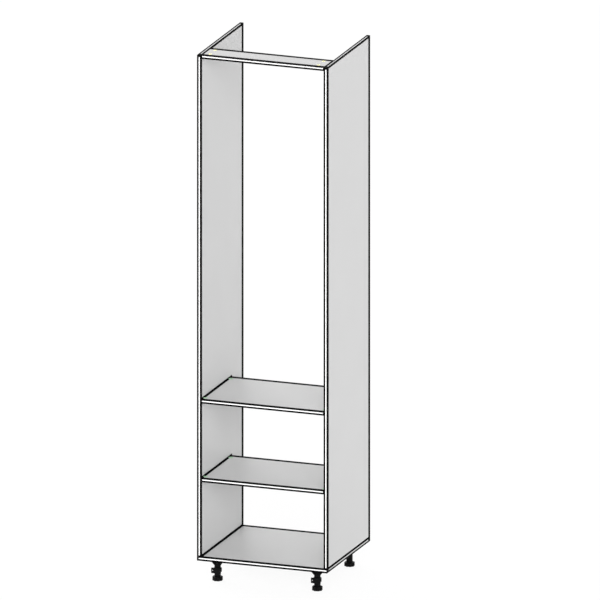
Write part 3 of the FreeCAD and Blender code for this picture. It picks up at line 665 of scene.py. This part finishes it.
class CABINET_OT_rail_cams(Operator):
    """Makes the four rail cams: a rim, a sunk face with a driver cross and an arrow to the bolt"""

    bl_idname = "cabinet.rail_cams"
    bl_label = "Rail cams"

    def execute(self, context):
        settings = look("fittings")
        radius, tall, sunk = settings.cam_radius, size_of("rail_cams").z, settings.mark_depth
        bolt_axis, bolt_room = tall - 8.0 * MM, 3.8 * MM
        hollow_top = bolt_axis + bolt_room
        rim_top, rim_foot, hollow = radius * 0.84, radius * 0.80, radius * 0.66
        cam = turned([
            (0, 0), (radius - sunk, 0), (radius, sunk), (radius, tall - sunk),
            (radius - sunk, tall), (rim_top, tall), (rim_foot, tall - sunk), (0, tall - sunk),
        ])
        slot_low = Vector((-radius * 1.2, -bolt_room, -OVERRUN))
        combine(
            cam, "DIFFERENCE",
            turned([(0, -OVERRUN), (hollow, -OVERRUN), (hollow, hollow_top), (0, hollow_top)]),
            block_tool(slot_low, Vector((0, bolt_room, hollow_top))),
            cross_tool(span=7.0 * MM, width=1.7 * MM, base=tall, depth=-2.5 * MM),
        )
        arrow = arrow_tool(radius, 0.76, base=tall - sunk * 1.5, depth=sunk * 1.3)
        combine(cam, "UNION", arrow)
        spots = corner_spots("rail_cams", radius, radius)
        yellow = plated_metal("yellow_passivated_zinc", settings.cam, 0.45)
        settle_copies(cam, {"rail_cams": spots}, yellow)
        return {"FINISHED"}


class CABINET_OT_shelf_connectors(Operator):
    """Makes the shelf connectors and the clamping cams in them"""

    bl_idname = "cabinet.shelf_connectors"
    bl_label = "Shelf connectors"

    def execute(self, context):
        settings = look("fittings")
        green = moulded_plastic("green_polyamide", settings.connector, 1 * MM, 0.45, 0.3, 1.53)
        zinc = plated_metal("zinc_die_casting", settings.clamp, 0.4)
        flat, radius, clamp = settings.connector_flat, settings.connector_radius, settings.clamp_radius
        for shelf in SHELVES:
            node = shelf + "_connectors"
            spots = corner_spots(node, flat, radius)
            settle_copies(connector_housing(settings, node), {node: spots}, green)
            node = shelf + "_connector_cams"
            spots = corner_spots(node, clamp, clamp)
            settle_copies(clamping_cam(settings, node), {node: spots}, zinc)
        return {"FINISHED"}


def connector_housing(settings, node):
    """A round housing with a flat side towards -X, a bolt channel below and a bore for its cam."""
    radius, tall, sunk = settings.connector_radius, size_of(node).z, settings.mark_depth
    bolt_axis, bolt_room = tall - 8.0 * MM, 3.8 * MM
    roof = bolt_axis + bolt_room
    bore = settings.clamp_radius + 0.1 * MM
    # A groove runs round the top, a little inside the edge
    groove = ((0.88, tall), (0.86, tall - sunk), (0.80, tall - sunk), (0.78, tall))
    outline = [(0, 0), (radius - sunk, 0), (radius, sunk), (radius, tall - sunk), (radius - sunk, tall)]
    outline += [(radius * share, height) for share, height in groove]
    housing = turned([*outline, (0, tall)], steps=64)
    open_mesh(housing)
    bpy.ops.mesh.bisect(
        plane_co=(-settings.connector_flat, 0, 0), plane_no=RIGHT, use_fill=True,
        clear_inner=True, threshold=ON_PLANE,
    )
    close_mesh()
    channel_low = Vector((-radius * 1.2, -bolt_room, -OVERRUN))
    # The bore widens to a chamfer at its mouth
    bore_outline = [
        (0, roof - OVERRUN), (bore, roof - OVERRUN), (bore, tall - sunk),
        (bore + sunk * 2, tall + sunk), (0, tall + sunk),
    ]
    combine(
        housing, "DIFFERENCE",
        block_tool(channel_low, Vector((settings.clamp_radius, bolt_room, roof))),
        turned(bore_outline),
        arrow_tool(radius, 0.72, base=tall - sunk, depth=sunk * 2),
    )
    return housing


def clamping_cam(settings, node):
    radius, tall, sunk = settings.clamp_radius, size_of(node).z, settings.mark_depth
    outline = [(0, 0), (radius, 0), (radius, tall - sunk), (radius - sunk, tall), (0, tall)]
    cam = turned(outline, steps=32)
    cross = cross_tool(span=radius * 1.35, width=1.1 * MM, base=tall, depth=-2.0 * MM)
    combine(cam, "DIFFERENCE", cross)
    return cam


class CABINET_OT_bolts_and_screws(Operator):
    """Makes the bolts of the cams and connectors, the joint screws and the screws of the legs"""

    bl_idname = "cabinet.bolts_and_screws"
    bl_label = "Bolts and screws"

    def execute(self, context):
        settings = look("fittings")
        steel = plated_metal("zinc_plated_steel", settings.steel, 0.3)
        # Radius and way from the side's face, in millimetres, of what stands out of the side
        long_head = ((3.5, 0), (3.5, 26.5), (2.0, 26.5), (2.0, 32), (3.5, 32), (3.5, 36))
        short_head = ((3.4, 0), (3.4, 3), (2.2, 3), (2.2, 5.4), (3.4, 5.4), (3.4, 8.5))
        side_bolts(["rail_cam_bolts"], settings, steel, long_head)
        side_bolts([shelf + "_bolts" for shelf in SHELVES], settings, steel, short_head)
        joint_screws(settings, steel)
        socket_screws(["leg_socket_screws_" + leg for leg in LEGS], settings, steel)
        return {"FINISHED"}


def side_bolts(nodes, settings, material, head_outline):
    """Bolts that screw into the sides, with necks that a cam grips."""
    thread_radius, thread_depth, thread_end = 2.5 * MM, 11 * MM, 0.5 * MM
    thread, pitch = 0.6 * MM, settings.thread_pitch
    bolt = threaded_rod(thread_radius, thread, pitch, -thread_depth, thread_end, RIGHT, UP)
    outline = [(radius * MM, height * MM) for radius, height in head_outline]
    outline = [(0, 0), *outline, (0, outline[-1][1])]
    head = turned(outline, along=RIGHT, out=UP, steps=32)
    round_edges(head, 0.3 * MM, 2)
    combine(bolt, "UNION", head)
    reach = head_outline[0][0] * MM
    spots = {}
    for node in nodes:
        middle = UP * size_of(node).z / 2
        corners = corner_spots(node, thread_depth, reach)
        spots[node] = [(place + middle, half_turned) for place, half_turned in corners]
    settle_copies(bolt, spots, material)


def joint_screws(settings, material):
    """One-piece connecting screws: a flat head with a hexagonal socket, a shank and a thread."""
    node = "joint_screws"
    low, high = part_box(node)
    head, shank, core = 5.0 * MM, 3.5 * MM, 2.5 * MM
    head_top, shank_top, tip = 3.0 * MM, 13.0 * MM, high.z - low.z
    stem_top, point_base = shank_top + 1 * MM, tip - 3 * MM
    screw = threaded_rod(core, 0.6 * MM, settings.thread_pitch, shank_top - OVERRUN, tip - 2 * MM)
    stem = turned([
        (0, 0), (head, 0), (head, head_top), (shank, head_top), (shank, shank_top),
        (core * 0.7, stem_top), (0, stem_top),
    ])
    round_edges(stem, 0.4 * MM, 2)
    point = [(0, point_base), (core * 0.75, point_base), (core * 0.6, tip - 0.5 * MM), (0, tip)]
    combine(screw, "UNION", stem, turned(point))
    key, key_depth = 2.3 * MM, 2.2 * MM
    # The six corners lie 60 degrees apart
    corners = arc((0, 0), key, 0, 300, 5)
    combine(screw, "DIFFERENCE", slab(corners, -OVERRUN, key_depth + OVERRUN))
    columns, rows = (low.x + head, high.x - head), (low.y + head, (low.y + high.y) / 2, high.y - head)
    spots = [(Vector((x, y, low.z)), False) for x in columns for y in rows]
    settle_copies(screw, {node: spots}, material)


def socket_screws(nodes, settings, material):
    """Four pan-head screws to a leg, heads down, with a cross recess."""
    head, shank, head_height, tip = 3.8 * MM, 1.9 * MM, 2.6 * MM, size_of(nodes[0]).z
    thread_low, point_base = head_height - 0.5 * MM, tip - 2 * MM
    screw = threaded_rod(shank, 0.5 * MM, settings.thread_pitch * 0.8, thread_low, tip - OVERRUN)
    dome = ((0.62, 0), (0.84, 0.35 * MM), (0.96, 0.95 * MM), (1.0, 1.7 * MM), (1.0, head_height))
    dome = [(head * share, height) for share, height in dome]
    point = [(0, point_base), (shank * 0.7, point_base), (0, tip)]
    combine(
        screw, "UNION",
        turned([(0, 0), *dome, (0, head_height)], steps=32),
        turned(point, steps=24),
    )
    cross = cross_tool(span=4.2 * MM, width=1.0 * MM, base=-0.5 * MM, depth=2.1 * MM)
    combine(screw, "DIFFERENCE", cross)
    settle_copies(screw, {node: corner_spots(node, head, head) for node in nodes}, material)


class CABINET_OT_dowels(Operator):
    """Makes the fluted beech dowels"""

    bl_idname = "cabinet.dowels"
    bl_label = "Dowels"

    def execute(self, context):
        settings = look("fittings")
        radius, length, lengthwise = 4.0 * MM, size_of("bottom_dowels").z, 0.15
        standing = bare_beech("beech_standing", settings.beech, (1.0, 1.0, lengthwise))
        spots = corner_spots("bottom_dowels", radius, radius)
        upright = fluted_dowel(settings, radius, length, UP, RIGHT)
        settle_copies(upright, {"bottom_dowels": spots}, standing)
        low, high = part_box("rail_dowels")
        centre = (low + high) / 2
        ends = ((low.x, False), (high.x, True))
        spots = [(Vector((x, centre.y, centre.z)), half_turned) for x, half_turned in ends]
        flat = bare_beech("beech_lying", settings.beech, (lengthwise, 1.0, 1.0))
        lying = fluted_dowel(settings, radius, length, RIGHT, UP)
        settle_copies(lying, {"rail_dowels": spots}, flat)
        return {"FINISHED"}


def fluted_dowel(settings, radius, length, along, out):
    """A dowel with chamfered ends. Every fourth row of points along it is drawn in as a flute."""
    chamfer, narrow = 1.0 * MM, 0.93
    side = along.cross(out)
    outline = [
        (0, 0), (radius - chamfer, 0), (radius, chamfer), (radius, length - chamfer),
        (radius - chamfer, length), (0, length),
    ]
    dowel = turned(outline, along=along, out=out, steps=settings.flutes * 4)
    step = FULL_TURN / settings.flutes

    def in_flute(place):
        turn = math.atan2(place.dot(side), place.dot(out)) % step
        off_axis = place.cross(along).length
        return min(turn, step - turn) < step / 8 and off_axis > radius - chamfer / 2

    open_mesh(dowel)
    select_where(dowel, in_flute)
    scale = [1.0 if along[axis] else narrow for axis in range(3)]
    bpy.ops.transform.resize(value=scale, center_override=ORIGIN)
    close_mesh()
    return dowel


# Legs

def settle_on_legs(part, model, material, legs=LEGS, axis=None):
    """A leg's part, modelled once and copied to each leg, on its own axis or another part's."""
    spots = {}
    for leg in legs:
        place = sum(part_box((axis or part) + leg), Vector()) / 2
        place.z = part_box(part + leg)[0].z
        spots[part + leg] = [(place, False)]
    settle_copies(model(look("legs"), part + legs[0]), spots, material)


class CABINET_OT_leg_sockets(Operator):
    """Makes the ribbed sockets under the bottom panel"""

    bl_idname = "cabinet.leg_sockets"
    bl_label = "Leg sockets"

    def execute(self, context):
        settle_on_legs("leg_socket_", ribbed_socket, black_plastic("socket", 0.5))
        return {"FINISHED"}


def ribbed_socket(settings, node):
    """A plate on a hub with a blind bore, eight ribs between them and four screw holes."""
    plate, tall, edge = size_of(node).x / 2, size_of(node).z, settings.edge
    bore, hub, plate_base, roof = 14.1 * MM, 16.5 * MM, tall - 4 * MM, tall - 6 * MM
    socket = turned([
        (bore, 0), (hub, 0), (hub, plate_base), (plate, plate_base), (plate, tall),
        (0, tall), (0, roof), (bore, roof), (bore, 0),
    ], steps=96)
    round_edges(socket, edge)
    ribs, thick, reach, shoulder, rib_top = 8, 2.2 * MM, 28.5 * MM, tall / 2, tall - 2 * MM
    root = (bore + hub) / 2
    corners = ((root, edge), (hub, edge), (reach, shoulder), (reach, rib_top), (root, rib_top))
    rib = slab(corners, -thick / 2, thick, along=BACK)
    round_edges(rib, edge * 0.8, 2)
    open_mesh(rib)
    bpy.ops.transform.rotate(value=FULL_TURN / ribs / 2, orient_axis="Z", center_override=ORIGIN)
    bpy.ops.mesh.spin(steps=ribs, dupli=True, angle=FULL_TURN, center=ORIGIN, axis=UP)
    close_mesh()
    combine(socket, "UNION", rib)
    holes, hole_circle, hole = 4, 23 * MM, 2.0 * MM
    for number in range(holes):
        turn = FULL_TURN * (number + 0.5) / holes
        centre = Vector((math.cos(turn), math.sin(turn), 0)) * hole_circle
        base, top = plate_base - OVERRUN, tall + OVERRUN
        outline = [(0, base), (hole, base), (hole, top), (0, top)]
        combine(socket, "DIFFERENCE", turned(outline, centre=centre, steps=24))
    return socket


class CABINET_OT_leg_tubes(Operator):
    """Makes the tubes of the legs"""

    bl_idname = "cabinet.leg_tubes"
    bl_label = "Leg tubes"

    def execute(self, context):
        settle_on_legs("leg_tube_", stepped_tube, black_plastic("tube", 0.42))
        return {"FINISHED"}


def stepped_tube(settings, node):
    """A tube whose bore is narrower in its threaded length, below."""
    outer, tall = size_of(node).x / 2, size_of(node).z
    inner, wide, thread_top = 11 * MM, 12 * MM, 36 * MM
    tube = turned([
        (inner, 0), (outer, 0), (outer, tall), (wide, tall), (wide, thread_top),
        (inner, thread_top), (inner, 0),
    ], steps=96)
    round_edges(tube, settings.edge)
    return tube


class CABINET_OT_leg_spindles(Operator):
    """Makes the threaded spindles"""

    bl_idname = "cabinet.leg_spindles"
    bl_label = "Leg spindles"

    def execute(self, context):
        settings = look("legs")
        polyamide = moulded_plastic(
            "black_polyamide_spindle", settings.plastic, settings.grain, 0.35, 0.15, 1.53,
        )
        settle_on_legs("leg_spindle_", threaded_spindle, polyamide)
        return {"FINISHED"}


def threaded_spindle(settings, node):
    """A threaded rod with a plain neck below, where the foot sits."""
    crest, tall, edge = size_of(node).x / 2, size_of(node).z, settings.edge
    neck, neck_top = 8 * MM, 5.5 * MM
    thread, pitch = settings.spindle_thread, settings.spindle_pitch
    spindle = threaded_rod(crest, thread, pitch, neck_top, tall, steps=64)
    top = neck_top + OVERRUN
    outline = [(0, 0), (neck - edge, 0), (neck, edge), (neck, top), (0, top)]
    combine(spindle, "UNION", turned(outline))
    return spindle


class CABINET_OT_leg_feet(Operator):
    """Makes the lobed feet"""

    bl_idname = "cabinet.leg_feet"
    bl_label = "Leg feet"

    def execute(self, context):
        settle_on_legs("leg_foot_", lobed_foot, black_plastic("foot", 0.45))
        return {"FINISHED"}


def lobed_foot(settings, node):
    """A turned foot, with a cup above and a recess below, that is drawn in between its lobes."""
    tall, edge = size_of(node).z, settings.foot_edge
    outer, lobe, valley, first_lobe = 23 * MM, 8 * MM, 19.5 * MM, math.radians(30)
    cup, cup_floor, neck, neck_floor = 14.6 * MM, 8 * MM, 8.1 * MM, 2.5 * MM
    recess, hollow, lip = 15 * MM, 1 * MM, 0.5 * MM
    outline = [(0, hollow), (recess - lip, hollow), (recess, 0)]
    outline += arc((outer - edge, edge), edge, -90, 0, 5)
    outline += arc((outer - edge, tall - edge), edge, 0, 90, 5)
    outline += [(cup + lip, tall), (cup, tall - lip), (cup, cup_floor)]
    outline += [(neck, cup_floor), (neck, neck_floor), (0, neck_floor)]
    rows_in_lobe = 24
    foot = turned(outline, steps=settings.lobes * rows_in_lobe)
    open_mesh(foot)
    step = FULL_TURN / settings.lobes
    row_step, lobe_centre = step / rows_in_lobe, outer - lobe
    # Each pair of rows, as far round on both sides of a lobe's middle, comes in to the lobe's round
    for row in range(1, rows_in_lobe // 2 + 1):
        turn = row * row_step
        half_chord = math.sqrt(lobe ** 2 - (lobe_centre * math.sin(turn)) ** 2)
        reach = max(valley, lobe_centre * math.cos(turn) + half_chord)

        def in_rows(place):
            off = (math.atan2(place.y, place.x) - first_lobe) % step
            outside = place.xy.length > recess + lip * 2
            return outside and abs(min(off, step - off) - turn) < row_step / 4

        select_where(foot, in_rows)
        share = reach / outer
        bpy.ops.transform.resize(value=(share, share, 1), center_override=ORIGIN)
    close_mesh()
    return foot


class CABINET_OT_plinth_clips(Operator):
    """Makes the plinth clips on the front legs"""

    bl_idname = "cabinet.plinth_clips"
    bl_label = "Plinth clips"

    def execute(self, context):
        material = black_plastic("clip", 0.5)
        settle_on_legs("plinth_clip_", plinth_clip, material, CLIPPED_LEGS, "leg_tube_")
        return {"FINISHED"}


def plinth_clip(settings, node):
    """A plate with two screw holes, two arms and an open ring with round lips round the tube."""
    wide, tall, edge = size_of(node).x, size_of(node).z, settings.edge
    front, thick, corner = -21 * MM, 3 * MM, 3 * MM
    outline = rectangle((-wide / 2, 0), (wide / 2, tall), corner, 4)
    plate = slab(outline, front, thick, along=BACK)
    round_edges(plate, edge)
    bore, outer, base, top = 14.3 * MM, 18.5 * MM, 4.5 * MM, 20.5 * MM
    hoop_outline = [(bore, base), (outer, base), (outer, top), (bore, top), (bore, base)]
    hoop = turned(hoop_outline, steps=96)
    round_edges(hoop, edge)
    lip, lip_x, half_mouth = 2.1 * MM, 10.5 * MM, 9.4 * MM
    lip_y = math.sqrt((bore + lip + edge / 4) ** 2 - lip_x ** 2)
    lip_outline = [(0, base + edge / 2), (lip - edge, base + edge / 2), (lip, base + edge * 1.5)]
    lip_outline += [(radius, base + top - height) for radius, height in reversed(lip_outline)]
    for x in (-lip_x, lip_x):
        post = turned(lip_outline, centre=Vector((x, lip_y, 0)), steps=32)
        combine(hoop, "UNION", post)
    mouth = block_tool(Vector((-half_mouth, 0, 0)), Vector((half_mouth, outer * 1.2, tall)))
    combine(hoop, "DIFFERENCE", mouth)
    arm_x, arm_end = 10 * MM, -12.6 * MM
    for x in (-arm_x, arm_x):
        near = Vector((x - thick / 2, front + thick / 2, base + edge))
        far = Vector((x + thick / 2, arm_end, top - edge))
        combine(plate, "UNION", block_tool(near, far))
    combine(plate, "UNION", hoop)
    hole, hole_x = 2.1 * MM, 16 * MM
    # Each hole is countersunk by the width of an edge at the plate's front
    hole_outline = [
        (0, -OVERRUN), (hole + edge, -OVERRUN), (hole + edge, 0), (hole, edge),
        (hole, thick + OVERRUN), (0, thick + OVERRUN),
    ]
    for x in (-hole_x, hole_x):
        centre = Vector((x, front, tall / 2))
        tool = turned(hole_outline, centre=centre, along=BACK, steps=24)
        combine(plate, "DIFFERENCE", tool)
    return plate


# Stage

class CABINET_OT_stage(Operator):
    """Lays the floor and sets up the light and the camera"""

    bl_idname = "cabinet.stage"
    bl_label = "Floor, light and camera"

    def execute(self, context):
        settings = look("stage")
        pick()
        bpy.ops.mesh.primitive_plane_add(size=settings.floor_size, location=ORIGIN)
        floor = context.object
        floor.name = "floor"
        floor.data.materials.append(white_floor(settings))
        light_world(settings)
        # Only the fill light shines in reflections, so that the tops don't turn white from behind
        soft_sun("key_light", settings.key, azimuth=20, elevation=10, shines=False)
        soft_sun("fill_light", settings.fill, azimuth=230, elevation=30, shines=True)
        place_camera(settings)
        return {"FINISHED"}


def white_floor(settings):
    """Plain white floor, almost as bright as the background, that still takes a faint shadow."""
    glow_share, glow_strength = 0.88, 1.03
    material = bpy.data.materials.new("white_floor")
    tree = empty_tree(material)
    matt = add_node(tree, "BsdfDiffuse", {"Color": settings.floor})
    glow = add_node(tree, "Emission", {"Color": settings.floor, "Strength": glow_strength})
    seen = add_node(tree, "LightPath").outputs["Is Camera Ray"]
    seen = add_node(tree, "Math", {0: seen, 1: glow_share}, operation="MULTIPLY")
    mix = add_node(tree, "MixShader", {0: seen, 1: matt, 2: glow})
    add_node(tree, "OutputMaterial", {"Surface": mix})
    return material


def light_world(settings):
    """A white studio: plain white where it is seen or reflected, with an even light all round."""
    world = bpy.data.worlds.new("studio")
    bpy.context.scene.world = world
    tree = empty_tree(world)
    rays = add_node(tree, "LightPath").outputs
    seen = rays["Is Camera Ray"]
    for other in (rays["Is Glossy Ray"], rays["Is Transmission Ray"]):
        seen = add_node(tree, "Math", {0: seen, 1: other}, operation="MAXIMUM")
    strength = add_node(tree, "MapRange", {"Value": seen, "To Min": settings.world, "To Max": 1.0})
    shine = add_node(tree, "Background", {"Color": (1, 1, 1, 1), "Strength": strength})
    add_node(tree, "OutputWorld", {"Surface": shine})


def direction(azimuth, elevation):
    """The way from the cabinet to what stands round to the right by azimuth and up by elevation."""
    flat = math.cos(elevation)
    return Vector((math.sin(azimuth) * flat, -math.cos(azimuth) * flat, math.sin(elevation)))


def soft_sun(name, strength, azimuth, elevation, shines):
    """A broad soft lamp, far away, whose shadows stay faint. It can be kept out of reflections."""
    bpy.ops.object.light_add(type="SUN")
    lamp = bpy.context.object
    lamp.name = name
    lamp.data.energy = strength
    lamp.data.angle = math.radians(60)
    lamp.rotation_mode = "QUATERNION"
    way = direction(math.radians(azimuth), math.radians(elevation))
    lamp.rotation_quaternion = (-way).to_track_quat("-Z", "Y")
    lamp.visible_glossy = shines


def place_camera(settings):
    """A camera without perspective: parallel edges stay parallel in the view."""
    distance = 8
    back = direction(settings.azimuth, settings.elevation)
    right = Vector((math.cos(settings.azimuth), math.sin(settings.azimuth), 0))
    centre = right * settings.view_right + back.cross(right) * settings.view_up
    bpy.ops.object.camera_add(location=centre + back * distance)
    camera = bpy.context.object
    camera.name = "camera"
    camera.rotation_mode = "QUATERNION"
    camera.rotation_quaternion = (-back).to_track_quat("-Z", "Y")
    camera.data.type = "ORTHO"
    camera.data.ortho_scale = settings.view_size
    camera.data.clip_end = distance * 5
    bpy.context.scene.camera = camera
    bpy.context.scene.view_settings.view_transform = "Standard"


class CABINET_PT_panel(Panel):
    """The cabinet's tools in the sidebar"""

    bl_idname = "CABINET_PT_panel"
    bl_label = "Tall Cabinet Carcass"
    bl_space_type = "VIEW_3D"
    bl_region_type = "UI"
    bl_category = "Cabinet"

    def draw(self, context):
        for name, group in GROUPS.items():
            box = self.layout.box()
            box.label(text=name.capitalize())
            for prop in group.__annotations__:
                box.prop(look(name), prop)
        for tool in OPERATORS:
            self.layout.operator(tool.bl_idname)


OPERATORS = (
    CABINET_OT_boards,
    CABINET_OT_edge_bands,
    CABINET_OT_rail_cams,
    CABINET_OT_shelf_connectors,
    CABINET_OT_bolts_and_screws,
    CABINET_OT_dowels,
    CABINET_OT_leg_sockets,
    CABINET_OT_leg_tubes,
    CABINET_OT_leg_spindles,
    CABINET_OT_leg_feet,
    CABINET_OT_plinth_clips,
    CABINET_OT_stage,
)
CLASSES = (*GROUPS.values(), *OPERATORS, CABINET_PT_panel)


def register():
    for cls in CLASSES:
        bpy.utils.register_class(cls)
    for name, group in GROUPS.items():
        setattr(bpy.types.Scene, "cabinet_" + name, PointerProperty(type=group))


def unregister():
    for name in GROUPS:
        delattr(bpy.types.Scene, "cabinet_" + name)
    for cls in reversed(CLASSES):
        bpy.utils.unregister_class(cls)


def main():
    register()
    bpy.ops.cabinet.boards()
    bpy.ops.cabinet.edge_bands()
    bpy.ops.cabinet.rail_cams()
    bpy.ops.cabinet.shelf_connectors()
    bpy.ops.cabinet.bolts_and_screws()
    bpy.ops.cabinet.dowels()
    bpy.ops.cabinet.leg_sockets()
    bpy.ops.cabinet.leg_tubes()
    bpy.ops.cabinet.leg_spindles()
    bpy.ops.cabinet.leg_feet()
    bpy.ops.cabinet.plinth_clips()
    bpy.ops.cabinet.stage()


if __name__ == "__main__":
    main()
